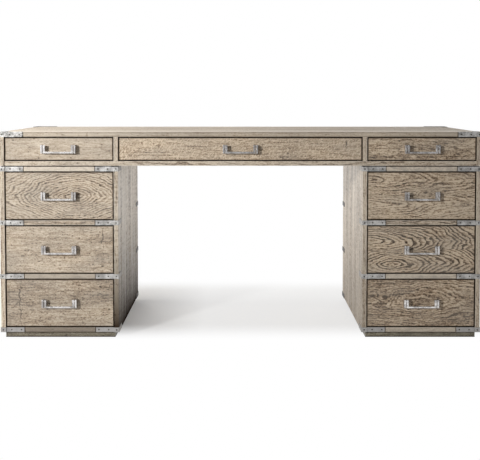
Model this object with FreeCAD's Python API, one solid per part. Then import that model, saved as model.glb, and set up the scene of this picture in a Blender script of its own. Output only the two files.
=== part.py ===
import FreeCAD, Part
import math
import os

from FreeCAD import Vector

# Campaign-style double-pedestal desk, in mm. X is the width, +Z is up and the drawers
# face -Y. The origin lies on the floor, in the middle of the whole desk's bounding box.

# Overall size over the wood
desk_width = 1829.0
desk_depth = 762.0
desk_height = 787.0

# Heights of the stack, from the floor to the writing surface
plinth_height = 22.0
rail_height = 18.0
reveal_height = 3.0
top_opening_height = 92.0
desktop_thickness = 18.0
pedestal_rows = 3

# Carcass boards
pedestal_width = 450.0
side_thickness = 17.0
rail_depth = 40.0
back_thickness = 12.0
runner_width = 40.0
stop_length = 24.0
stop_height = 20.0
stop_width_share = 0.5
stop_clearance = 0.3
plinth_recess = 15.0
plinth_board = 18.0
arris_radius = 1.0

# Drawers
front_gap = 4.5
front_recess = 4.5
front_thickness = 20.0
box_slide_clearance = 0.3
box_top_clearance = 14.0
box_side_thickness = 12.0
box_bottom_thickness = 6.0
bottom_groove_depth = 6.0
bottom_groove_height = 10.0
dovetail_reach = 13.0
dovetail_pitch = 34.0
dovetail_waist_share = 0.46
dovetail_tip_share = 0.66
space_behind_box = 87.0

# Swinging pulls
pull_width = 133.0
pull_height = 32.0
pull_projection = 24.0
post_width = 7.0
post_gap = 2.0
bail_arm_width = 8.4
bail_bar_height = 6.6
bail_depth = 9.0
pull_edge_radius = 0.8
pin_radius = 2.5
pin_running_clearance = 0.06
pin_end_clearance = 0.4
pin_reach = 6.0
pin_below_top = 6.5
post_screw_radius = 2.0
post_screw_clearance = 0.25
post_screw_bite = 12.0
post_screw_head_radius = 4.0
post_screw_head_height = 2.6

# Metal straps, corner caps and their screws
strap_thickness = 2.0
strap_leg = 88.0
cap_top_width = 18.0
cap_let_in = 0.5
strap_screw_shares = (0.45, 0.87)
cap_screw_shares = (0.27, 0.66)
screw_head_radius = 3.0
screw_shank_radius = 1.5
screw_bite = 10.0
screw_slot_width = 0.8
screw_slot_depth = 0.6
screw_turn_step_deg = 47.0

# Cuts run past the faces that they open by this much, and edges that lie this close
# to a plane count as lying in it
overrun = 1.0
same_place = 0.001

# Planes worked out from the sizes above
pull_front_reach = pull_projection - front_recess
half_width = desk_width / 2
front_y = (pull_front_reach - desk_depth - strap_thickness) / 2
back_y = front_y + desk_depth
inset_y = front_y + front_recess
rail_back_y = inset_y + rail_depth
panel_y = back_y - back_thickness

top_case_top = desk_height - desktop_thickness
top_opening_bottom = top_case_top - top_opening_height
top_case_bottom = top_opening_bottom - rail_height
pedestal_top = top_case_bottom - reveal_height
carcass_height = pedestal_top - plinth_height
opening_height = (carcass_height - (pedestal_rows + 1) * rail_height) / pedestal_rows
row_pitch = opening_height + rail_height

box_front_y = inset_y + front_thickness
box_back_y = panel_y - space_behind_box

inner_x = half_width - side_thickness
knee_x = half_width - pedestal_width
bay_x = knee_x + side_thickness

post_inner_x = pull_width / 2 - post_width
arm_outer_x = post_inner_x - post_gap

REARWARD = Vector(0, 1, 0)
UPWARD = Vector(0, 0, 1)


def block(low_x, high_x, low_y, high_y, low_z, high_z):
    """A box between two limits on each axis, whichever of the two X limits is larger."""
    left, right = min(low_x, high_x), max(low_x, high_x)
    size = (right - left, high_y - low_y, high_z - low_z)
    return Part.makeBox(*size, Vector(left, low_y, low_z))


def face_edges(shape, axis, level):
    """The edges of a shape that lie in the plane where one coordinate has this level."""
    found = []
    for edge in shape.Edges:
        box = edge.BoundBox
        limits = {"x": (box.XMin, box.XMax), "y": (box.YMin, box.YMax), "z": (box.ZMin, box.ZMax)}
        low, high = limits[axis]
        if abs(low - level) < same_place and abs(high - level) < same_place:
            found.append(edge)
    return found


def eased(shape, radius, *planes):
    """Rounds the edges that lie in the given planes, each an axis and its level."""
    edges = []
    for axis, level in planes:
        for edge in face_edges(shape, axis, level):
            if not any(edge.isSame(kept) for kept in edges):
                edges.append(edge)
    return shape.makeFillet(radius, edges)


def save(name, *solids):
    """Writes one sub-part, a single solid or a group of separate ones."""
    shape = solids[0] if len(solids) == 1 else Part.makeCompound(list(solids))
    shape.exportStep("parts/" + name + ".step")
    print(name, len(shape.Solids), "solids", round(shape.Volume / 1000.0, 1), "cm3")


# Desktop and top case

def make_desktop():
    """The slab, with a shallow rebate in each corner that the cap's angle is let into."""
    slab = block(-half_width, half_width, front_y, back_y, top_case_top, desk_height)
    rims = (("z", desk_height), ("x", -half_width), ("x", half_width))
    return eased(slab, arris_radius, *rims).cut([make_cap_angle(*place) for place in cap_places()])


def make_top_case_end(side):
    """One end board of the top case; side is -1 on the left and 1 on the right."""
    end = block(side * inner_x, side * half_width, front_y, back_y, top_case_bottom, top_case_top)
    return eased(end, arris_radius, ("y", front_y))


def make_top_case_divider(side):
    """A board between two top drawers, standing over a pedestal's inner side."""
    low = top_opening_bottom
    board = block(side * knee_x, side * bay_x, front_y, panel_y, low, top_case_top)
    return eased(board, arris_radius, ("y", front_y))


def make_top_case_front_rail():
    rail = block(-inner_x, inner_x, inset_y, rail_back_y, top_case_bottom, top_opening_bottom)
    return eased(rail, arris_radius, ("y", inset_y))


def make_top_case_bottom():
    """The board that the top drawers slide on, with a stop behind each drawer."""
    low, high = top_case_bottom, top_opening_bottom
    panel = block(-inner_x, inner_x, rail_back_y, back_y, low, high)
    stop_y = box_back_y + stop_clearance
    bays = ((-inner_x, -bay_x), (-knee_x, knee_x), (bay_x, inner_x))
    solids = [panel]
    for left, right in bays:
        middle = (left + right) / 2
        reach = (right - left) * stop_width_share / 2
        stop = (middle - reach, middle + reach, stop_y, stop_y + stop_length)
        solids.append(block(*stop, high, high + stop_height))
    return solids


def make_top_case_back():
    return block(-inner_x, inner_x, panel_y, back_y, top_opening_bottom, top_case_top)


# Pedestals

def rail_bottom(level):
    """Height of the underside of a front rail, counted from the bottom rail, level 0."""
    return plinth_height + level * row_pitch


def make_pedestal_side(side, edge_x, inward_x):
    """An upright board whose front edge shows as the stile beside the drawers."""
    outer, inner = side * edge_x, side * inward_x
    board = block(outer, inner, front_y, back_y, plinth_height, pedestal_top)
    return eased(board, arris_radius, ("y", front_y), ("y", back_y))


def make_pedestal_rails(side):
    rails = []
    for level in range(pedestal_rows + 1):
        low = rail_bottom(level)
        limits = (side * bay_x, side * inner_x, inset_y, rail_back_y, low, low + rail_height)
        rails.append(eased(block(*limits), arris_radius, ("y", inset_y)))
    return rails


def make_pedestal_decks(side):
    """Bottom and top boards; the top one stands proud and leaves the shadow gap."""
    limits = (side * bay_x, side * inner_x, rail_back_y, panel_y)
    top_low = pedestal_top - rail_height
    bottom = block(*limits, plinth_height, plinth_height + rail_height)
    top = block(*limits, top_low, top_case_bottom)
    return [bottom, top]


def make_pedestal_runners(side):
    """Runners level with the middle rails, and the stops behind all the drawers."""
    solids = []
    stop_y = box_back_y + stop_clearance
    walls = ((bay_x, bay_x + runner_width), (inner_x - runner_width, inner_x))
    for level in range(pedestal_rows):
        low = rail_bottom(level)
        high = low + rail_height
        for left, right in walls:
            limits = (side * left, side * right)
            solids.append(block(*limits, stop_y, stop_y + stop_length, high, high + stop_height))
            if level > 0:
                solids.append(block(*limits, rail_back_y, panel_y, low, high))
    return solids


def make_pedestal_back(side):
    return block(side * bay_x, side * inner_x, panel_y, back_y, plinth_height, pedestal_top)


def make_plinth(side):
    """Four boards in a ring under the pedestal, set back from its faces."""
    inner, outer = knee_x + plinth_recess, half_width - plinth_recess
    near, far = front_y + plinth_recess, back_y - plinth_recess
    span = (side * inner, side * outer)
    front = block(*span, near, near + plinth_board, 0, plinth_height)
    rear = block(*span, far - plinth_board, far, 0, plinth_height)
    solids = [eased(front, arris_radius, ("y", near)), eased(rear, arris_radius, ("y", far))]
    for edge, step in ((inner, plinth_board), (outer, -plinth_board)):
        limits = (side * edge, side * (edge + step), near + plinth_board, far - plinth_board)
        solids.append(block(*limits, 0, plinth_height))
    return solids


# Straps, corner caps and their screws

screw_count = 0


def make_screw(place, inward):
    """A slotted countersunk screw; its head fills a strap's thickness."""
    global screw_count
    screw_count += 1
    head = Part.makeCone(screw_head_radius, screw_shank_radius, strap_thickness)
    shank = Part.makeCylinder(screw_shank_radius, screw_bite, Vector(0, 0, strap_thickness))
    half = screw_head_radius + overrun
    size = (2 * half, screw_slot_width, screw_slot_depth + overrun)
    slot = Part.makeBox(*size, Vector(-half, -screw_slot_width / 2, -overrun))
    screw = head.fuse(shank).removeSplitter().cut(slot)
    turn = FreeCAD.Rotation(UPWARD, screw_count * screw_turn_step_deg)
    tip = FreeCAD.Rotation(UPWARD, inward)
    screw.Placement = FreeCAD.Placement(place, tip.multiply(turn))
    return screw


def screw_seat(place, inward):
    """The countersunk hole that a screw's head fills."""
    return Part.makeCone(screw_head_radius, screw_shank_radius, strap_thickness, place, inward)


def bent_plate(corner, into_x, into_y, plan, height):
    """A solid over a plan of the metal at a corner of the wood.

    The plan's points give the distance along the front and the distance behind it.
    They run round the metal from the start of the bend, (0, -strap_thickness), to its
    end, and the bend is a quarter circle one strap thickness outside the corner.
    into_x and into_y are 1 or -1, the ways in which the two legs run from the corner.
    """
    def at(along, behind):
        return corner + Vector(into_x * along, into_y * behind, 0)

    points = [at(*place) for place in plan]
    edges = [Part.makeLine(start, end) for start, end in zip(points, points[1:])]
    diagonal = strap_thickness * math.sqrt(0.5)
    edges.append(Part.Arc(points[-1], at(-diagonal, -diagonal), points[0]).toShape())
    return Part.Face(Part.Wire(edges)).extrude(Vector(0, 0, height))


def folded_plan(step):
    """The plan of a strap folded round a corner; its inner line follows the wood.

    Past the stile the front leg steps back by step, as the rail does.
    """
    skin, leg, stile = strap_thickness, strap_leg, side_thickness
    outer = [(0, -skin), (leg, -skin)]
    inner = [(leg, 0), (0, 0)]
    if step > 0:
        outer[1:] = [(stile + skin, -skin), (stile + skin, step - skin), (leg, step - skin)]
        inner = [(leg, step), (stile, step), (stile, 0), (0, 0)]
    return outer + inner + [(0, leg), (-skin, leg), (-skin, 0)]


def leg_screws(corner, into_x, into_y, step, middle_z):
    """Places and directions of the screws in a strap's two legs."""
    places = [(side_thickness / 2, 0.0)]
    places += [(share * strap_leg, step) for share in strap_screw_shares]
    found = []
    for along, depth in places:
        offset = Vector(into_x * along, into_y * (depth - strap_thickness), 0)
        place = Vector(corner.x, corner.y, middle_z) + offset
        found.append((place, Vector(0, into_y, 0)))
    for share in strap_screw_shares:
        offset = Vector(-into_x * strap_thickness, into_y * share * strap_leg, 0)
        place = Vector(corner.x, corner.y, middle_z) + offset
        found.append((place, Vector(into_x, 0, 0)))
    return found


def make_strap(corner, into_x, into_y, step):
    """A folded strap, as high as a rail, with its screws."""
    strap = bent_plate(corner, into_x, into_y, folded_plan(step), rail_height)
    screws = leg_screws(corner, into_x, into_y, step, corner.z + rail_height / 2)
    seats = [screw_seat(place, inward) for place, inward in screws]
    return strap.cut(seats), [make_screw(place, inward) for place, inward in screws]


def cap_places():
    """The desktop's corners on its underside, and the ways in which its edges run."""
    places = []
    for edge_x, into_x in ((-half_width, 1), (half_width, -1)):
        for edge_y, into_y in ((front_y, 1), (back_y, -1)):
            places.append((Vector(edge_x, edge_y, top_case_top), into_x, into_y))
    return places


def make_cap_angle(corner, into_x, into_y):
    """The flat angle of a corner cap, let a little way into the top of the desktop."""
    skin, leg, width = strap_thickness, strap_leg, cap_top_width
    plan = [(0, -skin), (leg, -skin), (leg, width), (width, width), (width, leg),
            (-skin, leg), (-skin, 0)]
    base = Vector(corner.x, corner.y, desk_height - cap_let_in)
    return bent_plate(base, into_x, into_y, plan, skin)


def make_cap(corner, into_x, into_y):
    """A desktop corner cap: a folded strap on the edge joined to the angle on top."""
    band = bent_plate(corner, into_x, into_y, folded_plan(0), desktop_thickness - cap_let_in)
    angle = make_cap_angle(corner, into_x, into_y)
    screws = leg_screws(corner, into_x, into_y, 0, corner.z + desktop_thickness / 2)
    cap_top, middle = desk_height - cap_let_in + strap_thickness, cap_top_width / 2
    for share in cap_screw_shares:
        for along, behind in ((share * strap_leg, middle), (middle, share * strap_leg)):
            place = Vector(corner.x + into_x * along, corner.y + into_y * behind, cap_top)
            screws.append((place, -UPWARD))
    seats = [screw_seat(place, inward) for place, inward in screws]
    cap = band.fuse(angle).removeSplitter().cut(seats)
    return cap, [make_screw(place, inward) for place, inward in screws]


def make_metalwork():
    """All straps, caps and screws: straps on every rail level of both pedestals."""
    straps, caps, screws = [], [], []
    edges = ((-half_width, 1), (-knee_x, -1), (knee_x, 1), (half_width, -1))
    for edge_x, into_x in edges:
        for level in range(pedestal_rows + 1):
            low = rail_bottom(level)
            for edge_y, into_y, step in ((front_y, 1, front_recess), (back_y, -1, 0)):
                corner = Vector(edge_x, edge_y, low)
                strap, fixings = make_strap(corner, into_x, into_y, step)
                straps.append(strap)
                screws += fixings
    for place in cap_places():
        cap, fixings = make_cap(*place)
        caps.append(cap)
        screws += fixings
    return straps, caps, screws


# Drawers

def drawer_places():
    """Name, left and right of the opening, and its bottom and top, for every drawer."""
    bays = {"left": (-inner_x, -bay_x), "centre": (-knee_x, knee_x), "right": (bay_x, inner_x)}
    rows = {"upper": 2, "middle": 1, "lower": 0}
    places = []
    for bay, span in bays.items():
        places.append((bay + "_top", *span, top_opening_bottom, top_case_top))
    for bay in ("left", "right"):
        for row, level in rows.items():
            low = rail_bottom(level) + rail_height
            places.append((bay + "_" + row, *bays[bay], low, low + opening_height))
    return places


def make_drawer_front(left, right, low, high):
    """The inset front, with a socket for each dovetail and a hole for each pull screw."""
    limits = (left + front_gap, right - front_gap, inset_y, box_front_y)
    front = block(*limits, low + front_gap, high - front_gap)
    front = eased(front, arris_radius, ("y", inset_y))
    radius = post_screw_radius + post_screw_clearance
    length = front_thickness + 2 * overrun
    cuts = [bottom_space(left, right, low)]
    for outer, inner in box_walls(left, right):
        cuts += dovetails(outer, inner, low, high)
    for x, z in post_places(left, right, low, high):
        cuts.append(Part.makeCylinder(radius, length, Vector(x, inset_y - overrun, z), REARWARD))
    return front.cut(cuts)


def box_walls(left, right):
    """Outer and inner faces of the box's two sides, which end flush with the front."""
    outer_left, outer_right = left + front_gap, right - front_gap
    inner_left, inner_right = outer_left + box_side_thickness, outer_right - box_side_thickness
    return (outer_left, inner_left), (outer_right, inner_right)


def dovetails(outer, inner, low, high):
    """The tails at a side's front end, spread evenly up the height of the front."""
    bottom, rim = low + front_gap, high - box_top_clearance
    count = max(1, int((rim - bottom) // dovetail_pitch))
    spacing = (rim - bottom) / count
    waist, tip = spacing * dovetail_waist_share / 2, spacing * dovetail_tip_share / 2
    far = box_front_y - dovetail_reach
    tails = []
    for index in range(count):
        middle = bottom + (index + 0.5) * spacing
        corners = [(box_front_y, middle - waist), (far, middle - tip),
                   (far, middle + tip), (box_front_y, middle + waist)]
        points = [Vector(outer, y, z) for y, z in corners + corners[:1]]
        face = Part.Face(Part.makePolygon(points))
        tails.append(face.extrude(Vector(inner - outer, 0, 0)))
    return tails


def bottom_space(left, right, low):
    """The space of the drawer's bottom board, which lies in grooves on three sides."""
    reach = front_gap + box_side_thickness - bottom_groove_depth
    base = low + box_slide_clearance + bottom_groove_height
    limits = (left + reach, right - reach, box_front_y - bottom_groove_depth, box_back_y)
    return block(*limits, base, base + box_bottom_thickness)


def make_drawer_box(left, right, low, high):
    """Two dovetailed sides, the back between them, and the bottom board in its grooves."""
    base, rim = low + box_slide_clearance, high - box_top_clearance
    bottom = bottom_space(left, right, low)
    walls = box_walls(left, right)
    solids = []
    for outer, inner in walls:
        wall = block(outer, inner, box_front_y, box_back_y, base, rim)
        wall = wall.fuse(dovetails(outer, inner, low, high)).removeSplitter()
        solids.append(wall.cut(bottom))
    inner_left, inner_right = walls[0][1], walls[1][1]
    back_low = base + bottom_groove_height + box_bottom_thickness
    back_near = box_back_y - box_side_thickness
    solids.append(block(inner_left, inner_right, back_near, box_back_y, back_low, rim))
    solids.append(bottom)
    return solids


def post_places(left, right, low, high):
    """Centres of the two pull posts on a drawer's face."""
    middle_x, middle_z = (left + right) / 2, (low + high) / 2
    reach = (pull_width - post_width) / 2
    return [(middle_x - reach, middle_z), (middle_x + reach, middle_z)]


def pin_axis(low, high):
    """Y and Z of the line that the bail swings on."""
    top = (low + high) / 2 + pull_height / 2
    return inset_y - pull_projection + bail_depth / 2, top - pin_below_top


def make_pull_posts(left, right, low, high):
    """Two posts, the pivot pin in each, and the screw that holds each to the front."""
    middle_x = (left + right) / 2
    pin_y, pin_z = pin_axis(low, high)
    near = inset_y - pull_projection
    solids = []
    for x, z in post_places(left, right, low, high):
        toward = 1 if x < middle_x else -1
        outer = x - toward * post_width / 2
        sides = (x - post_width / 2, x + post_width / 2)
        post = block(*sides, near, inset_y, z - pull_height / 2, z + pull_height / 2)
        post = eased(post, pull_edge_radius, ("y", near))
        pin_length = post_width + post_gap + pin_reach
        pin_start, pin_way = Vector(outer, pin_y, pin_z), Vector(toward, 0, 0)
        pin = Part.makeCylinder(pin_radius, pin_length, pin_start, pin_way)
        thread_start = Vector(x, inset_y - post_screw_bite, z)
        length = post_screw_bite + front_thickness
        shank = Part.makeCylinder(post_screw_radius, length, thread_start, REARWARD)
        head_place = Vector(x, box_front_y, z)
        sizes = (post_screw_head_radius, post_screw_head_height)
        head = Part.makeCylinder(*sizes, head_place, REARWARD)
        screw = shank.fuse(head).removeSplitter()
        solids += [post.cut([pin, shank]), pin, screw]
    return solids


def make_bail(left, right, low, high):
    """The swinging handle: a bar and two arms, with a blind hole in each for its pin."""
    middle_x, middle_z = (left + right) / 2, (low + high) / 2
    near = inset_y - pull_projection
    depth = (near, near + bail_depth)
    bottom, top = middle_z - pull_height / 2, middle_z + pull_height / 2
    whole = block(middle_x - arm_outer_x, middle_x + arm_outer_x, *depth, bottom, top)
    inside = arm_outer_x - bail_arm_width
    past = (near - overrun, near + bail_depth + overrun)
    hand_space = (middle_x - inside, middle_x + inside, *past)
    gap = block(*hand_space, bottom + bail_bar_height, top + overrun)
    bail = eased(whole.cut(gap), pull_edge_radius, ("y", near), ("y", near + bail_depth))
    pin_y, pin_z = pin_axis(low, high)
    radius, reach = pin_radius + pin_running_clearance, pin_reach + pin_end_clearance
    holes = []
    for side in (-1, 1):
        start = Vector(middle_x + side * (arm_outer_x + overrun), pin_y, pin_z)
        way = Vector(-side, 0, 0)
        holes.append(Part.makeCylinder(radius, reach + overrun, start, way))
    return bail.cut(holes)


def build():
    os.makedirs("parts", exist_ok=True)
    save("desktop", make_desktop())
    save("top_case_ends", make_top_case_end(-1), make_top_case_end(1))
    save("top_case_dividers", make_top_case_divider(-1), make_top_case_divider(1))
    save("top_case_front_rail", make_top_case_front_rail())
    save("top_case_bottom", *make_top_case_bottom())
    save("top_case_back_panel", make_top_case_back())
    for name, side in (("left", -1), ("right", 1)):
        pedestal = name + "_pedestal_"
        save(pedestal + "outer_side", make_pedestal_side(side, half_width, inner_x))
        save(pedestal + "inner_side", make_pedestal_side(side, knee_x, bay_x))
        save(pedestal + "front_rails", *make_pedestal_rails(side))
        save(pedestal + "decks", *make_pedestal_decks(side))
        save(pedestal + "runners", *make_pedestal_runners(side))
        save(pedestal + "back_panel", make_pedestal_back(side))
        save(pedestal + "plinth", *make_plinth(side))
    straps, caps, screws = make_metalwork()
    save("corner_straps", *straps)
    save("desktop_corner_caps", *caps)
    save("strap_screws", *screws)
    for name, *opening in drawer_places():
        save(name + "_drawer_front", make_drawer_front(*opening))
        save(name + "_drawer_box", *make_drawer_box(*opening))
        save(name + "_pull_posts", *make_pull_posts(*opening))
        save(name + "_pull_bail", make_bail(*opening))


build()
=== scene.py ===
import functools
import math

import bpy
import numpy as np
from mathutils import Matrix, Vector


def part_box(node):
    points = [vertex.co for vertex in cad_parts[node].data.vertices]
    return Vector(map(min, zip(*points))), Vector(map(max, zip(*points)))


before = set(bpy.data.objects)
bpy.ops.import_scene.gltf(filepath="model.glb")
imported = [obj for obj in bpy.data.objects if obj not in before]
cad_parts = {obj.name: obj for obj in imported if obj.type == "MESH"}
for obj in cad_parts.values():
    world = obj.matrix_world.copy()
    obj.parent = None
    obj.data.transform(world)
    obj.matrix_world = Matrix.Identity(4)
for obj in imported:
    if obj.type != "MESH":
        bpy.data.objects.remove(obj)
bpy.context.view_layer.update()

MM = 0.001


# Nodes and colours

def add(tree, kind, *inputs, out=0, stops=(), **settings):
    """Adds a shader node with its settings and links, and gives back one of its outputs.

    inputs fill the sockets in order, and each is a value or another node's output. A pair
    (socket, value) fills the socket of that name or number instead. stops are the
    (place, colour) pairs of a colour ramp.
    """
    made = tree.nodes.new("ShaderNode" + kind)
    for name, value in settings.items():
        setattr(made, name, value)
    for number, value in enumerate(inputs):
        key = number
        if isinstance(value, tuple) and len(value) == 2:
            key, value = value
        if isinstance(value, bpy.types.NodeSocket):
            tree.links.new(value, made.inputs[key])
        else:
            made.inputs[key].default_value = value
    if stops:
        elements = made.color_ramp.elements
        while len(elements) < len(stops):
            elements.new(1.0)
        for element, (place, colour) in zip(elements, stops):
            element.position = place
            element.color = colour
    return made.outputs[out] if len(made.outputs) else None


def new_material(name):
    """A material that has no nodes yet, and the function that adds a node to it."""
    material = bpy.data.materials.new(name)
    material.use_nodes = True
    material.node_tree.nodes.clear()
    return material, functools.partial(add, material.node_tree)


def linear(colour):
    """An sRGB hex colour, such as "#c8b89e", as linear red, green and blue with alpha 1."""
    values = [int(colour[i:i + 2], 16) / 255 for i in (1, 3, 5)]
    return (*[v / 12.92 if v <= 0.04045 else ((v + 0.055) / 1.055) ** 2.4 for v in values], 1.0)


def grey(level):
    """A grey of this linear level, with alpha 1."""
    return (level, level, level, 1.0)


# Oak

# Sizes in the grain
SEAM_WIDTH = 1.2 * MM
PLANKS_APART = (4.0, 4.0, 4.0)
PITH_STRAY = 30 * MM
MARK_STRAY = 22 * MM
RING_WOBBLE = 26 * MM
RING_SWAY = 50 * MM
RING_SWELL = 20 * MM
RING_POINT = 0.25
TURN_ROUNDING = 80 * MM
HOLES_PER_METRE = (9.0, 14.0, 14.0)
RAY_SIZE = (12 * MM, 4.2 * MM, 20 * MM)
RAY_ANGLE = math.radians(55)
ARRIS_STRAY = 4 * MM
NO_MARK = (0.1 * MM, 0.1 * MM, 1)

# A ring from its start to its end: a dark porous line, then smooth wood up to the next line
RING_STOPS = ((0.0, grey(1.0)), (0.3, grey(0.9)), (0.5, grey(0.15)), (0.92, grey(0.0)),
              (1.0, grey(1.0)))

# How much each thing adds to the darkness of the wood. The wood between them has PLAIN_TONE.
PORE_SHARE = 0.4
HOLE_SHARE = 0.5
MARK_SHARE = 0.85
SEAM_SHARE = 0.3
PLAIN_TONE = 0.24

# Inputs of the oak figure with their defaults, in metres and shares. Seam is the place of
# one seam between planks, Worn reach is how far from an arris the wood is worn, and Seed
# picks the part of the tree.
FIGURE_INPUTS = (
    ("Place", "Vector", (0, 0, 0)),
    ("Half size", "Vector", (1, 1, 1)),
    ("Plank width", "Float", 130 * MM),
    ("Seam", "Float", 0.0),
    ("Ring depth", "Float", 80 * MM),
    ("Ring tilt", "Float", 0.2),
    ("Ring turn", "Float", -9.0),
    ("Ring spacing", "Float", 9.5 * MM),
    ("Ring strength", "Float", 0.4),
    ("Band strength", "Float", 0.2),
    ("Fibre strength", "Float", 1.0),
    ("Speck strength", "Float", 0.25),
    ("Saw strength", "Float", 0.0),
    ("Plank contrast", "Float", 0.12),
    ("Worn reach", "Float", 0.6 * MM),
    ("Tone", "Float", 0.0),
    ("Fleck strength", "Float", 0.0),
    ("Mark place", "Vector", (0, 0, 0)),
    ("Mark half size", "Vector", NO_MARK),
    ("Seed", "Float", 0.0),
)


def make_oak_figure():
    """The node group that draws the grain of brushed, weathered oak in a solid board.

    Place is measured from the board's middle: X along the grain, Y across it and Z through
    the board. Rings lie at equal distances from the tree's pith, a line Ring depth under the
    board that sinks with Ring tilt along X, so they show as nested V shapes on the face.
    The pith is nearest at half of Ring turn and sinks both ways from there, so that the V
    shapes close into an eye; the default puts that far outside the board. Each ring starts
    with a dark, porous line and fades into smooth wood. Brush marks, fibres, their torn
    ends, saw marks and pores are noise drawn out along or across the grain. Real pores are
    0.3 mm wide; here they are drawn 4 mm wide, so that they show at the render's 4 mm to a
    pixel.

    Outputs: Darkness from 0, pale, to 1; Weathering, where the wood has turned grey; Wear
    on the arrises; and the relief's Height.
    """
    tree = bpy.data.node_groups.new("oak_figure", "ShaderNodeTree")
    for name, kind, value in FIGURE_INPUTS:
        socket = tree.interface.new_socket(name, in_out="INPUT", socket_type="NodeSocket" + kind)
        socket.default_value = value
    for name in ("Darkness", "Weathering", "Wear", "Height"):
        tree.interface.new_socket(name, in_out="OUTPUT", socket_type="NodeSocketFloat")
    given = tree.nodes.new("NodeGroupInput").outputs
    made = functools.partial(add, tree)
    place = given["Place"]
    axes = made("SeparateXYZ", place).node.outputs

    # Boards are glued up from planks, and each plank is cut from another place in the tree
    from_seam = made("Math", axes[1], given["Seam"], operation="SUBTRACT")
    planks = made("Math", from_seam, given["Plank width"], operation="DIVIDE")
    number = made("Math", planks, operation="FLOOR")
    chance = made("TexWhiteNoise", ("W", made("Math", number, given["Seed"])), out=1,
                  noise_dimensions="1D")
    chances = made("SeparateXYZ", chance).node.outputs
    in_plank = made("Math", made("Math", planks, number, operation="SUBTRACT"), -0.5)
    centred = made("Math", in_plank, given["Plank width"], operation="MULTIPLY")
    off_middle = made("Math", made("Math", in_plank, operation="ABSOLUTE"),
                      given["Plank width"], operation="MULTIPLY")
    to_seam = made("Math", made("Math", given["Plank width"], 0.5, operation="MULTIPLY"),
                   off_middle, operation="SUBTRACT")
    seam = made("MapRange", to_seam, 0.0, SEAM_WIDTH, 1.0, 0.0)
    apart = made("VectorMath", chance, PLANKS_APART, operation="MULTIPLY")
    sample = made("VectorMath", place, apart)

    def noise(along, across, detail, roughness=0.55):
        """Noise from 0 to 1 with these periods in mm along and across the grain."""
        scale = (1000 / along, 1000 / across, 1000 / across)
        at = made("VectorMath", sample, scale, operation="MULTIPLY")
        return made("TexNoise", ("Vector", at), ("Scale", 1.0), ("Detail", detail),
                    ("Roughness", roughness))

    def centred_times(value, share):
        """A value from 0 to 1 turned into one from minus half to plus half of share."""
        return made("Math", made("Math", value, -0.5), share, operation="MULTIPLY")

    # A mark is a knot, or a crack when it is thin. It strays along the grain, is darker in
    # some places than in others, and the rings swell round it, out to 5 times its half size
    strayed = made("CombineXYZ", centred_times(noise(60, 22, 2.0), MARK_STRAY), 0.0, 0.0)
    from_mark = made("VectorMath", place, given["Mark place"], operation="SUBTRACT")
    from_mark = made("VectorMath", from_mark, strayed)
    ratio = made("VectorMath", from_mark, given["Mark half size"], operation="DIVIDE")
    flat = made("VectorMath", ratio, (1.0, 1.0, 0.0), operation="MULTIPLY")
    reach = made("VectorMath", flat, operation="LENGTH", out=1)
    core = made("MapRange", reach, 1.2, 0.5, 0.0, 1.0, interpolation_type="SMOOTHSTEP")
    core = made("Math", core, made("MapRange", noise(30, 16, 1.0), 0.35, 0.6, 0.35, 1.0),
                operation="MULTIPLY")
    swell = made("MapRange", reach, 5.0, 0.0, 0.0, RING_SWELL, interpolation_type="SMOOTHSTEP")

    # Growth rings: the distance from the pith, bent by slow and quick wobbles and drawn to a
    # point over the pith, is counted in ring widths. Some years' lines are stronger.
    back = made("Math", given["Ring turn"], axes[0], operation="SUBTRACT")
    along = made("Math", axes[0], back, TURN_ROUNDING, operation="SMOOTH_MAX")
    sunk = made("Math", along, given["Ring tilt"], given["Ring depth"],
                operation="MULTIPLY_ADD")
    below = made("Math", sunk, made("Math", axes[2], centred_times(chances[2], PITH_STRAY)))
    beside = made("Math", centred_times(chances[1], PITH_STRAY), centred)
    arm = made("CombineXYZ", 0.0, beside, below)
    radius = made("VectorMath", arm, operation="LENGTH", out=1)
    point = made("Math", beside, operation="ABSOLUTE")
    radius = made("Math", point, RING_POINT, radius, operation="MULTIPLY_ADD")
    wavy = made("Math", centred_times(noise(70, 32, 3.0), RING_WOBBLE),
                centred_times(noise(260, 120, 1.0), RING_SWAY))
    bent = made("Math", radius, made("Math", wavy, swell))
    rings = made("Math", bent, given["Ring spacing"], operation="DIVIDE")
    ring = made("Math", rings, operation="FRACT")
    year = made("TexWhiteNoise", ("W", made("Math", rings, operation="FLOOR")), out=0,
                noise_dimensions="1D")
    early = made("ValToRGB", ring, stops=RING_STOPS)
    strong_year = made("MapRange", year, 0.0, 1.0, 0.4, 1.0)

    # Brush marks break the rings into dashes. Then come fibres and their torn ends, the marks
    # of the saw across the grain, and pores, which are thicker in the rings' lines.
    brushed = noise(18, 4.2, 2.0, roughness=0.65)
    fibres = noise(90, 5.5, 4.0, roughness=0.6)
    torn = noise(7, 4.2, 1.0, roughness=0.6)
    sawn = noise(10, 75, 2.0, roughness=0.6)
    broken = made("MapRange", brushed, 0.36, 0.62, 0.7, 1.2)
    rows = made("Math", made("Math", early, strong_year, operation="MULTIPLY"), broken,
                operation="MULTIPLY")
    pores = made("MapRange", noise(13, 4.2, 1.0), 0.62, 0.72, 0.0, 1.0)
    pored = made("Math", pores, made("Math", rows, 0.7, 0.5, operation="MULTIPLY_ADD"),
                 operation="MULTIPLY")
    speck = made("MapRange", noise(6.5, 5, 0.0), 0.66, 0.74, 0.0, 1.0)

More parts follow.
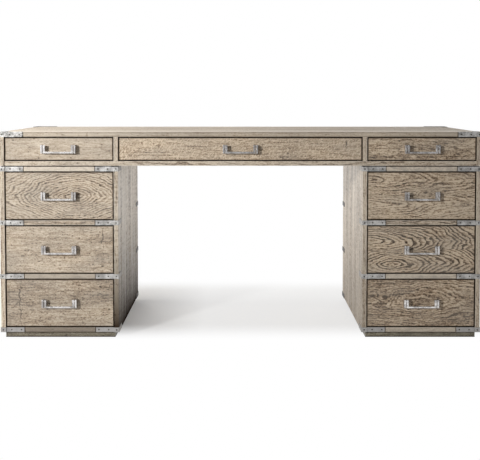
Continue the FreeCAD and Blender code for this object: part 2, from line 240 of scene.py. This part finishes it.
    # The holes of nails and worms, in 4 of 10 cells about 0.1 m long and 0.07 m wide
    cells = made("VectorMath", sample, HOLES_PER_METRE, operation="MULTIPLY")
    holes = made("TexVoronoi", ("Vector", cells), ("Scale", 1.0),
                 voronoi_dimensions="2D").node.outputs
    chosen = made("SeparateColor", holes["Color"])
    hole = made("MapRange", holes["Distance"], 0.045, 0.02, 0.0, 1.0)
    hole = made("Math", hole, made("Math", chosen, 0.62, operation="GREATER_THAN"),
                operation="MULTIPLY")

    # The pale flecks of a quartered board, where rays meet the face
    turned = made("Mapping", sample, ("Rotation", (0.0, 0.0, RAY_ANGLE)), ("Scale", RAY_SIZE),
                  vector_type="TEXTURE")
    ray = made("TexNoise", ("Vector", turned), ("Scale", 1.0), ("Detail", 1.0))
    rays = made("Math", made("MapRange", ray, 0.58, 0.68, 0.0, -0.35), given["Fleck strength"],
                operation="MULTIPLY")

    # Broad clouds, patches and bands of the wood's own colour, and the sum of it all
    cloud = noise(420, 130, 2.0)
    patch = noise(180, 60, 3.0)
    band = made("Math", centred_times(noise(900, 34, 2.0), 2.0), given["Band strength"],
                operation="MULTIPLY")
    fine = made("Math", centred_times(fibres, 1.0), centred_times(brushed, 0.7))
    fine = made("Math", fine, centred_times(torn, 0.85))
    darkness = made("Math", fine, given["Fibre strength"],
                    made("Math", rows, given["Ring strength"], operation="MULTIPLY"),
                    operation="MULTIPLY_ADD")
    for value, share in ((pored, PORE_SHARE), (hole, HOLE_SHARE), (core, MARK_SHARE),
                         (seam, SEAM_SHARE), (speck, given["Speck strength"]),
                         (centred_times(sawn, 1.0), given["Saw strength"]),
                         (centred_times(chances[0], 1.0), given["Plank contrast"])):
        darkness = made("Math", value, share, darkness, operation="MULTIPLY_ADD")
    for value in (rays, band, centred_times(cloud, 0.5), centred_times(patch, 0.3),
                  given["Tone"], PLAIN_TONE):
        darkness = made("Math", darkness, value)

    # Wear: the two shortest distances to a face add up to little only beside an arris
    inward = made("VectorMath", given["Half size"],
                  made("VectorMath", place, operation="ABSOLUTE"), operation="SUBTRACT")
    near = made("SeparateXYZ", inward).node.outputs
    total = made("Math", made("Math", near[0], near[1]), near[2])
    longest = made("Math", made("Math", near[0], near[1], operation="MAXIMUM"), near[2],
                   operation="MAXIMUM")
    edge = made("Math", total, longest, operation="SUBTRACT")
    uneven = made("Math", patch, -ARRIS_STRAY, edge, operation="MULTIPLY_ADD")
    worn = made("MapRange", uneven, -1 * MM, given["Worn reach"], 1.0, 0.0)

    # What is dark in the grain lies lower than the wood beside it
    relief = made("Math", pored, -1.0, centred_times(fibres, -0.9), operation="MULTIPLY_ADD")
    relief = made("Math", centred_times(brushed, -1.0), relief)
    relief = made("Math", centred_times(torn, -0.8), relief)
    for value, depth in ((rows, 0.55), (hole, 2.0), (core, 1.0)):
        relief = made("Math", value, -depth, relief, operation="MULTIPLY_ADD")

    taken = tree.nodes.new("NodeGroupOutput").inputs
    for name, value in (("Darkness", darkness), ("Weathering", patch), ("Wear", worn),
                        ("Height", relief)):
        tree.links.new(value, taken[name])
    return tree


oak_figure = make_oak_figure()

# sRGB colours of a wood: five from its palest to its darkest, at these shares of darkness,
# then where it has turned grey, and where its arrises are worn bare
SHADE_PLACES = (0.0, 0.3, 0.55, 0.8, 1.0)
OAK = ("#cfc1ac", "#b6a58f", "#98856f", "#6c5a48", "#41352a", "#a39d93", "#d6ccbc")
BROWN_OAK = ("#d3c1a8", "#b9a58c", "#9b856c", "#6e5a46", "#423529", "#a69d90", "#dacdb8")
PLINTH = ("#8d8674", "#736b58", "#5a5243", "#443c31", "#2b251e", "#6c6a60", "#8f897b")
LINING = ("#dcc9a8", "#cbb48f", "#b89e78", "#9b8160", "#6c563d", "#c9b899", "#e0d2b8")

# The brown of arrises that hands have soiled, darkened also as painted shade beside the
# gaps; and the stain that show faces have lost, also used as painted shade and shadow
SOILED_AND_SHADED = "#6f5d4a"
STAIN_AND_SHADE = "#2a1c10"

GREYED_SHARE = 0.42
WORN_SHARE = 0.55
PLAIN_SHINE = 0.5
DARK_ROUGHER = 0.18
GRAIN_DEPTH = 0.7 * MM
# Painted shade towards the floor fades out between these heights
FOOT_HEIGHTS = (30 * MM, 420 * MM)
BOX_FADE = 0.6 * MM

# A pedestal's front rails are as high as the top case's rail and lie in rows ROW_PITCH
# apart. Each row up is cut ROW_SHIFT further along the tree, and as much further out.
rail_low, rail_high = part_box("top_case_front_rail")
RAIL_HALF = (rail_high.z - rail_low.z) / 2
ROW_PITCH = 205.33 * MM
ROW_SHIFT = 730 * MM


def soiled_and_shaded(shades):
    """A wood's colours with arrises soiled by hands and darkened as painted shade, not worn
    bare.
    """
    return (*shades[:-1], SOILED_AND_SHADED)


def within(made, place, low, high):
    """1 inside a box and its mirror image on the other side of the desk, and 0 outside.

    The value falls from 1 to 0 over the last BOX_FADE before the box's faces.
    """
    axes = made("SeparateXYZ", place).node.outputs
    aside = made("CombineXYZ", made("Math", axes[0], operation="ABSOLUTE"), axes[1], axes[2])
    middle = [(a + b) / 2 for a, b in zip(low, high)]
    half = [(b - a) / 2 for a, b in zip(low, high)]
    away = made("VectorMath", made("VectorMath", aside, middle, operation="SUBTRACT"),
                operation="ABSOLUTE")
    past = made("VectorMath", away, half, operation="SUBTRACT")
    axes = made("SeparateXYZ", past).node.outputs
    furthest = made("Math", made("Math", axes[0], axes[1], operation="MAXIMUM"), axes[2],
                    operation="MAXIMUM")
    return made("MapRange", furthest, -BOX_FADE, 0.0, 1.0, 0.0)


def place_in_board(made, place, node, order, mirrored, ends, in_rows):
    """A place in the desk as one in its board, and half the board's size, both in order.

    The place is measured from the board's middle. order names the board's axes along the
    grain, across it and through it.
    """
    low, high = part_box(node)
    middle = (low + high) / 2
    half = (high - low) / 2
    if in_rows:
        half.z = RAIL_HALF
    if mirrored:
        axes = made("SeparateXYZ", place).node.outputs
        aside = made("Math", axes[0], operation="ABSOLUTE")
        place = made("CombineXYZ", aside, axes[1], axes[2])
    place = made("VectorMath", place, tuple(middle), operation="SUBTRACT")
    axes = made("SeparateXYZ", place).node.outputs
    ordered = made("CombineXYZ", *[axes["xyz".index(letter)] for letter in order])
    size = tuple(half["xyz".index(letter)] for letter in order)
    if ends is not None:
        at_end = made("Math", made("Math", axes[0], operation="ABSOLUTE"), half.x - ends,
                      operation="GREATER_THAN")
        lengthways = made("CombineXYZ", axes[1], axes[2], axes[0])
        ordered = made("Mix", at_end, (4, ordered), (5, lengthways), out=1,
                       data_type="VECTOR")
        size = made("Mix", at_end, (4, size), (5, (half.y, half.z, half.x)), out=1,
                    data_type="VECTOR")
    if in_rows:
        row = made("Math", made("Math", axes[2], ROW_PITCH, operation="DIVIDE"),
                   operation="FLOOR")
        drop = made("Math", row, -ROW_PITCH, -ROW_PITCH / 2, operation="MULTIPLY_ADD")
        shift = made("Math", row, ROW_SHIFT, operation="MULTIPLY")
        moved = made("CombineXYZ", shift, drop, shift)
        ordered = made("VectorMath", ordered, moved)
    return ordered, size


def oak(name, node, order, shades=OAK, mirrored=False, ends=None, in_rows=False,
        roughness=0.56, stained=(), foot=0.0, **figure):
    """Wood with a dry, matt finish, whose grain follows the first axis of order.

    The eye gets a pale brown board without gloss, brushed until its hard lines stand proud.
    A mirrored node holds a board on each side of the desk. The boards at both ends of X,
    ends thick, run front to back, and boards in_rows each get their own part of the tree.
    The boxes listed for stain and shade lie the same way on both sides of the desk, each
    with the share of dark, dull stain colour painted in it: real stain along the handled
    front edge, and painted shade and painted shadow in recesses, gaps, under rails and beside
    strap ends elsewhere. foot is the share of painted shade towards the floor; it fades out
    0.42 m up. The rest are inputs of the oak figure.
    """
    material, made = new_material(name)
    in_desk = made("TexCoord", out=3)
    place, size = place_in_board(made, in_desk, node, order, mirrored, ends, in_rows)
    settings = {key.replace("_", " ").capitalize(): value for key, value in figure.items()}
    inputs = {"Place": place, "Half size": size, **settings}
    drawn = made("Group", *inputs.items(), node_tree=oak_figure).node.outputs
    *ladder, greyed, bare = shades
    stops = tuple(zip(SHADE_PLACES, map(linear, ladder)))
    colour = made("ValToRGB", drawn["Darkness"], stops=stops)
    weathered = made("MapRange", drawn["Weathering"], 0.35, 0.75, 0.0, GREYED_SHARE)
    colour = made("Mix", weathered, (6, colour), (7, linear(greyed)), out=2, data_type="RGBA")
    worn = made("Math", drawn["Wear"], WORN_SHARE, operation="MULTIPLY")
    colour = made("Mix", worn, (6, colour), (7, linear(bare)), out=2, data_type="RGBA")

    # Stain, painted shade and painted shadow in boxes, and painted shade towards the floor,
    # darken the colour and dull the shine
    darkening = [made("Math", within(made, in_desk, low, high), share, operation="MULTIPLY")
                 for low, high, share in stained]
    # Painted shade, darker towards the floor
    if foot:
        height = made("SeparateXYZ", in_desk).node.outputs[2]
        darkening.append(made("MapRange", height, *FOOT_HEIGHTS, foot, 0.0))
    shine = PLAIN_SHINE
    for share in darkening:
        colour = made("Mix", share, (6, colour), (7, linear(STAIN_AND_SHADE)), out=2, data_type="RGBA")
        shine = made("Math", share, -PLAIN_SHINE, shine, operation="MULTIPLY_ADD")

    rough = made("Math", drawn["Darkness"], DARK_ROUGHER, roughness - DARK_ROUGHER / 3,
                 operation="MULTIPLY_ADD")
    bump = made("Bump", ("Strength", 0.45), ("Distance", GRAIN_DEPTH),
                ("Height", drawn["Height"]))
    wood = made("BsdfPrincipled", ("Base Color", colour), ("Roughness", rough),
                ("Specular IOR Level", shine), ("Normal", bump))
    made("OutputMaterial", wood)
    return material


# Metal

CLOUD_SIZE = 25 * MM
MOTTLE_SIZE = 5 * MM
DENT_SIZE = 7 * MM
DENT_DEPTH = 0.3 * MM
METAL_SHADE_SHARE = 0.85


def metal(name, bright, dark, roughness, darker=()):
    """Antiqued pewter-plated steel, rubbed by hand: soft grey, cloudy, with small dents.

    Clouds 25 mm across and mottling 5 mm across, drawn coarser than the real 1 mm so that
    it shows, shift the colour and the roughness. Dents are shallow cells 7 mm across.
    The boxes listed for darker metal lie the same way on both sides of the desk, each with
    the darker colour that the metal takes in it as painted shade.
    """
    material, made = new_material(name)
    place = made("TexCoord", out=3)
    cloud = made("TexNoise", ("Vector", place), ("Scale", 1 / CLOUD_SIZE), ("Detail", 3.0))
    mottle = made("TexNoise", ("Vector", place), ("Scale", 1 / MOTTLE_SIZE), ("Detail", 4.0),
                  ("Roughness", 0.7))
    dent = made("TexVoronoi", ("Vector", place), ("Scale", 1 / DENT_SIZE),
                feature="SMOOTH_F1")
    mixed = made("Math", made("Math", cloud, mottle), 0.5, operation="MULTIPLY")
    share = made("MapRange", mixed, 0.44, 0.56, 0.0, 1.0)
    colour = made("Mix", share, (6, linear(dark)), (7, linear(bright)), out=2,
                  data_type="RGBA")
    # Painted shade: the metal takes a darker colour in each box
    for low, high, shade in darker:
        share = made("Math", within(made, place, low, high), METAL_SHADE_SHARE,
                     operation="MULTIPLY")
        colour = made("Mix", share, (6, colour), (7, linear(shade)), out=2, data_type="RGBA")
    rough = made("MapRange", mixed, 0.35, 0.65, roughness + 0.08, roughness - 0.08)
    height = made("Math", dent, made("Math", mottle, 0.5, operation="MULTIPLY"))
    bump = made("Bump", ("Strength", 0.3), ("Distance", DENT_DEPTH), ("Height", height))
    shader = made("BsdfPrincipled", ("Base Color", colour), ("Metallic", 1.0),
                  ("Roughness", rough), ("Normal", bump))
    made("OutputMaterial", shader)
    return material


# Where wood and metal are darker: stain, and painted shade and shadow

# Boxes lie on the right side of the desk and hold for both. FAR is further from the desk's
# middle than any of its faces, for a box's open sides. SKIN is how far into a piece a box
# reaches to colour its face, and OVERRUN is how far it goes past a face in open air. Of the
# two shares below, the first is that of painted shade in recesses and gaps and of painted
# shadows, and HANDLED is the share of stain where hands rub.
FAR = 1.0
SKIN = 0.7 * MM
OVERRUN = 1 * MM
PAINTED_SHADE_SHARE = 0.9
HANDLED = 0.15

outer_low, outer_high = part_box("left_pedestal_outer_side")
inner_low, inner_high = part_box("left_pedestal_inner_side")
panel_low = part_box("left_pedestal_back_panel")[0]
desktop_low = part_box("desktop")[0]
knee_x = -inner_high.x

# Painted shade inside the drawer bays of the pedestals and of the top case, behind the show
# faces, which darkens the gaps round the drawers
BEHIND_FACE = 0.8 * MM
behind_face_y = rail_low.y + BEHIND_FACE
BAY = ((-inner_low.x - SKIN, behind_face_y, 0.0),
       (-outer_high.x + SKIN, panel_low.y + SKIN, desktop_low.z + SKIN), PAINTED_SHADE_SHARE)
CENTRE_BAY = ((-OVERRUN, behind_face_y, rail_high.z - SKIN),
              (knee_x + SKIN, panel_low.y + SKIN, desktop_low.z + SKIN), PAINTED_SHADE_SHARE)

# Painted shade in the shadow gap between the top case and the pedestals, a little in from
# their faces
GAP_IN_X = 0.5 * MM
GAP_IN_Y = 1 * MM
SHADOW_GAP = ((knee_x + GAP_IN_X, outer_low.y + GAP_IN_Y, outer_high.z - SKIN),
              (-outer_low.x - GAP_IN_X, outer_high.y - GAP_IN_Y, rail_low.z + SKIN), PAINTED_SHADE_SHARE)
INSIDE = (BAY, CENTRE_BAY, SHADOW_GAP)

# A painted shadow in a line where each strap or cap ends on the wood, such as its proud end
# would cast
STRAP_LEG = 88 * MM
END_SHADOW_WIDTH = 3.5 * MM
BEHIND_EDGE = 1.5 * MM
outer_end = -outer_low.x - STRAP_LEG
knee_end = knee_x + STRAP_LEG
behind_edge_y = desktop_low.y + BEHIND_EDGE
STRAP_END_SHADOWS = (((outer_end - END_SHADOW_WIDTH, -FAR, 0.0), (outer_end, behind_face_y, FAR), PAINTED_SHADE_SHARE),
              ((knee_end, -FAR, 0.0), (knee_end + END_SHADOW_WIDTH, behind_face_y, FAR), PAINTED_SHADE_SHARE))
CAP_END_SHADOW = ((outer_end - END_SHADOW_WIDTH, -FAR, 0.0), (outer_end, behind_edge_y, FAR), PAINTED_SHADE_SHARE)

# A little of it all along the front edge of the desktop, which hands and sleeves rub
HANDLED_EDGE = ((0.0, -FAR, 0.0), (FAR, behind_edge_y, FAR), HANDLED)

# A painted shadow along the top of the plinth, under the rail, and a painted contact shadow
# along the floor
UNDER_RAIL_SHADOW = 5 * MM
FLOOR_CONTACT_SHADOW = 3.5 * MM
plinth_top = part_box("left_pedestal_plinth")[1].z
PLINTH_SHADOWS = (((0.0, -FAR, plinth_top - UNDER_RAIL_SHADOW), (FAR, FAR, plinth_top + OVERRUN), PAINTED_SHADE_SHARE),
                ((0.0, -FAR, -OVERRUN), (FAR, FAR, FLOOR_CONTACT_SHADOW), PAINTED_SHADE_SHARE))

# Metal darkened as painted shade: the straps' wings on the knee-hole sides, which stand one
# thickness proud of the wood; the lowest straps in front; and the straps and caps at the
# back, darkest on the knee-hole wings
STRAP_THICKNESS = 2 * MM
LOWEST_STRAPS_TOP = 100 * MM
BACK_Y = 100 * MM
BACK = ((0.0, BACK_Y, 0.0), (FAR, FAR, FAR))
wing_x = knee_x - STRAP_THICKNESS + SKIN
SHADED_KNEE_WINGS = ((0.0, -FAR, 0.0), (wing_x, 0.0, FAR), "#8e8a85")
SHADED_FOOT_METAL = ((0.0, -FAR, 0.0), (FAR, 0.0, LOWEST_STRAPS_TOP), "#9c9996")
SHADED_BACK_METAL = (*BACK, "#8a8681")
SHADED_BACK_CAPS = (*BACK, "#57534f")
SHADED_KNEE_BACK_WINGS = ((0.0, BACK_Y, 0.0), (wing_x, FAR, FAR), "#2b2826")


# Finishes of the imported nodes

def finish_node(node, material):
    """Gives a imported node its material."""
    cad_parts[node].data.materials[0] = material


def finish_board(node, order, **settings):
    """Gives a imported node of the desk's own oak its finish."""
    finish_node(node, oak("oak_" + node, node, order, **settings))


# One plank a metre wide holds a whole board when its seams lie half a metre off the middle
WHOLE_PLANK = dict(plank_width=1.0, seam=-0.5)
TWO_PLANKS = dict(plank_width=93 * MM, seam=0.0)

# The figure of each drawer front, read from the photograph, in metres: how deep and how
# tilted the pith lies below the face and where it turns, how strong the rings and fibres
# are, and the place and half size of a knot or crack
FRONTS = {
    "left_top": dict(ring_depth=0.16, ring_tilt=0.05, ring_strength=0.15, fibre_strength=0.75,
                     speck_strength=0.15, tone=-0.05, seed=3.1),
    "centre_top": dict(shades=BROWN_OAK, ring_depth=0.2, ring_tilt=0.02, ring_strength=0.12,
                       fleck_strength=2.0, fibre_strength=1.5, tone=0.1, seed=5.3,
                       mark_place=(0.402, 0.0145, 0), mark_half_size=(0.0028, 0.02, 1)),
    "right_top": dict(shades=BROWN_OAK, ring_depth=0.14, ring_tilt=0.04, ring_strength=0.4,
                      fibre_strength=1.7, tone=-0.06, seed=7.9),
    "left_upper": dict(ring_depth=0.04, ring_tilt=0.3, ring_turn=0.16, ring_spacing=0.0074,
                       ring_strength=0.66, fibre_strength=0.75, tone=-0.02, seed=11.2),
    "left_middle": dict(ring_depth=0.2, ring_tilt=0.06, ring_strength=0.15,
                        speck_strength=0.4, seed=13.7,
                        mark_place=(0.163, 0.05, 0), mark_half_size=(0.0026, 0.03, 1)),
    "left_lower": dict(ring_depth=0.17, ring_tilt=0.08, ring_strength=0.15,
                       speck_strength=0.4, fibre_strength=1.2, tone=0.04, foot=0.15, seed=17.4,
                       mark_place=(-0.152, 0.0, 0), mark_half_size=(0.0024, 0.085, 1)),
    "right_upper": dict(shades=BROWN_OAK, ring_depth=0.06, ring_tilt=0.16, ring_spacing=0.0082,
                        ring_strength=0.7, fibre_strength=1.4, tone=-0.11, seed=19.8,
                        mark_place=(0.015, 0.012, 0), mark_half_size=(0.011, 0.005, 1),
                        **TWO_PLANKS),
    "right_middle": dict(shades=BROWN_OAK, ring_depth=0.06, ring_tilt=0.33,
                         ring_spacing=0.0082, ring_strength=1.22, fibre_strength=1.2,
                         tone=-0.2, seed=23.5, **TWO_PLANKS),
    "right_lower": dict(shades=BROWN_OAK, ring_depth=0.045, ring_tilt=0.18, ring_turn=0.03,
                        ring_spacing=0.0076, ring_strength=0.62, fibre_strength=1.4, seed=29.3,
                        mark_place=(-0.135, 0.022, 0), mark_half_size=(0.011, 0.01, 1)),
}

# Just over the thickness of a drawer's sides, whose grain runs front to back
BOX_SIDE = 12.5 * MM

for name, figure in FRONTS.items():
    figure = {**WHOLE_PLANK, **figure}
    # Their arrises are soiled by hands and darkened as painted shade beside the gaps, and the
    # bays behind them hold painted shade
    shades = soiled_and_shaded(figure.pop("shades", OAK))
    finish_board(name + "_drawer_front", "xzy", shades=shades, stained=(BAY, CENTRE_BAY),
                 worn_reach=1.5 * MM, **figure)
    box = name + "_drawer_box"
    lining = oak("lining_" + name, box, "xyz", shades=LINING, ends=BOX_SIDE,
                 ring_strength=0.12, ring_depth=0.2, ring_tilt=0.03, plank_width=110 * MM,
                 seed=figure["seed"] + 100, roughness=0.55)
    finish_node(box, lining)

# The desktop is glued up from six planks 127 mm wide, and a seam lies off its middle by half
DESKTOP_PLANK = 127 * MM
# Its arrises are soiled by hands and darkened as painted shade along the front; a painted shadow
# lies where each cap ends, and a little stain along the handled front edge
finish_board("desktop", "xyz", shades=soiled_and_shaded(OAK), ring_strength=0.2, ring_depth=0.1,
             ring_tilt=0.04, seed=31.0, plank_width=DESKTOP_PLANK, seam=DESKTOP_PLANK / 2,
             plank_contrast=0.8, tone=-0.05, worn_reach=4 * MM,
             stained=(CAP_END_SHADOW, HANDLED_EDGE))
finish_board("top_case_ends", "zyx", mirrored=True, ring_strength=0.2, seed=37.0,
             stained=INSIDE)
finish_board("top_case_dividers", "zyx", mirrored=True, ring_strength=0.15, seed=41.0,
             stained=INSIDE)
finish_board("top_case_front_rail", "xzy", ring_strength=0.55, seed=43.0, ring_depth=0.03,
             ring_tilt=0.05, fibre_strength=1.3, tone=-0.2, stained=INSIDE, **WHOLE_PLANK)
finish_board("top_case_bottom", "xyz", ring_strength=0.2, seed=47.0, stained=INSIDE)
finish_board("top_case_back_panel", "xzy", ring_strength=0.2, seed=53.0, ring_tilt=0.05,
             stained=INSIDE, **WHOLE_PLANK)

# What differs between the two pedestals; foot is the share of painted shade towards the
# floor. The right one has a knot in its top rail, 8 mm left of the rail's middle.
KNOT_X = -8 * MM
PEDESTALS = {
    "left": dict(seed=60.0,
                 outer=dict(tone=-0.05),
                 inner=dict(band_strength=1.5, saw_strength=1.6, tone=-0.25, foot=1.0),
                 rails=dict(ring_strength=0.35, fibre_strength=1.0, foot=0.6)),
    "right": dict(seed=90.0,
                  outer=dict(tone=0.0),
                  inner=dict(band_strength=0.7, saw_strength=0.6, tone=-0.11, foot=0.3),
                  rails=dict(ring_strength=0.7, fibre_strength=1.4, tone=-0.05, foot=0.1,
                             mark_place=(ROW_SHIFT + KNOT_X, 0, 0),
                             mark_half_size=(0.013, 0.006, 1))),
}
PLINTH_BOARD = 18 * MM

for side, own in PEDESTALS.items():
    pedestal = side + "_pedestal_"
    seed = own["seed"]
    finish_board(pedestal + "outer_side", "zyx", ring_strength=0.3, ring_tilt=0.12,
                 band_strength=0.8, saw_strength=0.3, seed=seed, stained=INSIDE,
                 **own["outer"])
    finish_board(pedestal + "inner_side", "zyx", ring_strength=0.3, ring_tilt=0.12,
                 seed=seed + 3, stained=INSIDE, **own["inner"])
    finish_board(pedestal + "front_rails", "xzy", ring_depth=0.04, ring_tilt=0.05,
                 seed=seed + 5, in_rows=True, stained=INSIDE + STRAP_END_SHADOWS, **own["rails"],
                 **WHOLE_PLANK)
    finish_board(pedestal + "back_panel", "zxy", ring_strength=0.28, seed=seed + 7,
                 stained=INSIDE)
    finish_board(pedestal + "decks", "xyz", shades=LINING, ring_strength=0.12, seed=seed + 9,
                 stained=INSIDE)
    finish_board(pedestal + "runners", "yxz", shades=LINING, ring_strength=0.12,
                 seed=seed + 11, stained=INSIDE)
    finish_board(pedestal + "plinth", "xzy", shades=PLINTH, ring_strength=0.15,
                 ends=PLINTH_BOARD, seed=seed + 13, ring_tilt=0.02, stained=PLINTH_SHADOWS,
                 **WHOLE_PLANK)

strap_steel = metal("pewter_plated_steel_straps", "#bdbbb8", "#969491", 0.62,
                    darker=(SHADED_FOOT_METAL, SHADED_KNEE_WINGS, SHADED_BACK_METAL, SHADED_KNEE_BACK_WINGS))
cap_steel = metal("pewter_plated_steel_caps", "#c4c2bf", "#8e8c89", 0.66,
                  darker=(SHADED_BACK_CAPS,))
pull_steel = metal("pewter_plated_steel_pulls", "#dedbd9", "#9b9794", 0.32)
screw_steel = metal("tarnished_steel_screws", "#5f5b56", "#403c38", 0.5)
finish_node("corner_straps", strap_steel)
finish_node("desktop_corner_caps", cap_steel)
finish_node("strap_screws", screw_steel)
for name in FRONTS:
    finish_node(name + "_pull_posts", pull_steel)
    finish_node(name + "_pull_bail", pull_steel)


# Studio

FLOOR_RADIUS = 7.0
FLOOR_CORNERS = 96
SHADOW_MIDDLE = (0.0, 0.25, 0.0)
SHADOW_HALF = (0.8, 0.35, 9.0)
SHADOW_FADE = 0.32
FOOT_SHADE_WIDTH = 0.31
FOOT_WHITE = 0.2
OPEN_WHITE = 0.67


def make_floor():
    """A round pale floor, 14 m across, that fades to the white of the backdrop.

    Under the desk it holds the shadow: a fifth of it is plain white beside the foot of the
    left pedestal, and two thirds from 0.31 m away. Outside a rectangle under the desk the
    white rises to the whole over 0.32 m.
    """
    turns = np.linspace(0, 2 * math.pi, FLOOR_CORNERS, endpoint=False)
    points = FLOOR_RADIUS * np.stack([np.cos(turns), np.sin(turns), np.zeros_like(turns)],
                                     axis=1)
    mesh = bpy.data.meshes.new("studio_floor")
    mesh.from_pydata(points.tolist(), [], [list(range(FLOOR_CORNERS))])
    floor = bpy.data.objects.new("studio_floor", mesh)
    bpy.context.scene.collection.objects.link(floor)
    material, made = new_material("painted_studio_floor")
    place = made("TexCoord", out=3)
    from_middle = made("VectorMath", made("VectorMath", place, SHADOW_MIDDLE,
                                          operation="SUBTRACT"), operation="ABSOLUTE")
    past = made("VectorMath", made("VectorMath", from_middle, SHADOW_HALF,
                                   operation="SUBTRACT"), (0.0, 0.0, 0.0), operation="MAXIMUM")
    away = made("VectorMath", past, operation="LENGTH", out=1)
    fade = made("MapRange", away, 0.0, SHADOW_FADE, 0.0, 1.0, interpolation_type="SMOOTHSTEP")
    along = made("SeparateXYZ", place).node.outputs[0]
    plain = made("MapRange", along, -knee_x, FOOT_SHADE_WIDTH - knee_x, FOOT_WHITE,
                 OPEN_WHITE)
    share = made("MapRange", fade, 0.0, 1.0, plain, 1.0)
    rays = made("LightPath").node.outputs
    seen = made("Math", rays["Is Camera Ray"], rays["Is Glossy Ray"], operation="MAXIMUM")
    seen = made("Math", seen, rays["Is Transmission Ray"], operation="MAXIMUM")
    share = made("Math", share, seen, operation="MULTIPLY")
    paint = made("BsdfDiffuse", linear("#f4f3f0"))
    white = made("Emission", grey(1.0), 1.0)
    made("OutputMaterial", made("MixShader", share, paint, white))
    mesh.materials.append(material)


def make_world(backdrop, room):
    """A white backdrop behind the desk, lit to its own level, and a dimmer room before it.

    The camera sees plain white all round, and so do reflections that meet the backdrop.
    """
    world = bpy.data.worlds.new("studio_backdrop")
    world.use_nodes = True
    world.node_tree.nodes.clear()
    made = functools.partial(add, world.node_tree)
    rays = made("LightPath").node.outputs
    towards = made("SeparateXYZ", made("TexCoord", out=0)).node.outputs

    # 0 for directions to the front and 1 for those to the back
    behind = made("MapRange", towards[1], -0.2, 0.3, 0.0, 1.0)
    mirrored = made("Math", rays["Is Glossy Ray"], rays["Is Transmission Ray"],
                    operation="MAXIMUM")
    mirrored = made("Math", mirrored, behind, operation="MULTIPLY")
    seen = made("Math", rays["Is Camera Ray"], mirrored, operation="MAXIMUM")
    level = made("MapRange", behind, 0.0, 1.0, room, backdrop)
    light = made("Background", linear("#f8f9ff"), level)
    white = made("Background", grey(1.0), 1.0)
    made("OutputWorld", made("MixShader", seen, light, white))
    bpy.context.scene.world = world


def make_lamp(name, place, target, power, size, spread=math.pi):
    """A square area lamp of this power in watts, aimed at a point."""
    lamp = bpy.data.lights.new(name, "AREA")
    lamp.energy = power
    lamp.size = size
    lamp.spread = spread
    thing = bpy.data.objects.new(name, lamp)
    bpy.context.scene.collection.objects.link(thing)
    thing.location = place
    thing.rotation_euler = (Vector(place) - Vector(target)).to_track_quat("Z", "Y").to_euler()
    thing.visible_camera = False


def make_camera():
    """The photograph's view: straight from the front, from just above the desktop.

    The photograph's upright lines don't converge, as with a lens shifted by 0.275 of the
    frame. Part of that is a tilt here, so that other views keep the desk in the frame.
    """
    lens = bpy.data.cameras.new("photograph")
    lens.sensor_width = 36.0
    lens.lens = 79.43
    lens.shift_y = -0.17
    camera = bpy.data.objects.new("photograph", lens)
    bpy.context.scene.collection.objects.link(camera)
    camera.location = (-0.0015, -4.3845, 0.9194)
    tilt = 2.7675
    camera.rotation_euler = (math.radians(90 - tilt), 0.0, 0.0)
    bpy.context.scene.camera = camera


make_floor()
make_world(backdrop=0.25, room=0.18)
make_lamp("gridded_softbox", (-3.0, -4.9, 1.9), (-0.64, 0.0, 0.85), power=26.0, size=0.5,
          spread=math.radians(58))
make_lamp("overhead_softbox", (-1.6, 0.0, 2.3), (-0.4, 0.0, 0.7), power=40.0, size=1.2)
make_lamp("low_rear_softbox_left", (-1.2, 2.4, 0.5), (0.3, 0.0, 0.4), power=21.0, size=0.7)
make_lamp("low_rear_softbox_right", (1.2, 2.4, 0.5), (-0.3, 0.0, 0.4), power=14.0, size=0.7)
make_camera()
bpy.context.scene.view_settings.view_transform = "Standard"
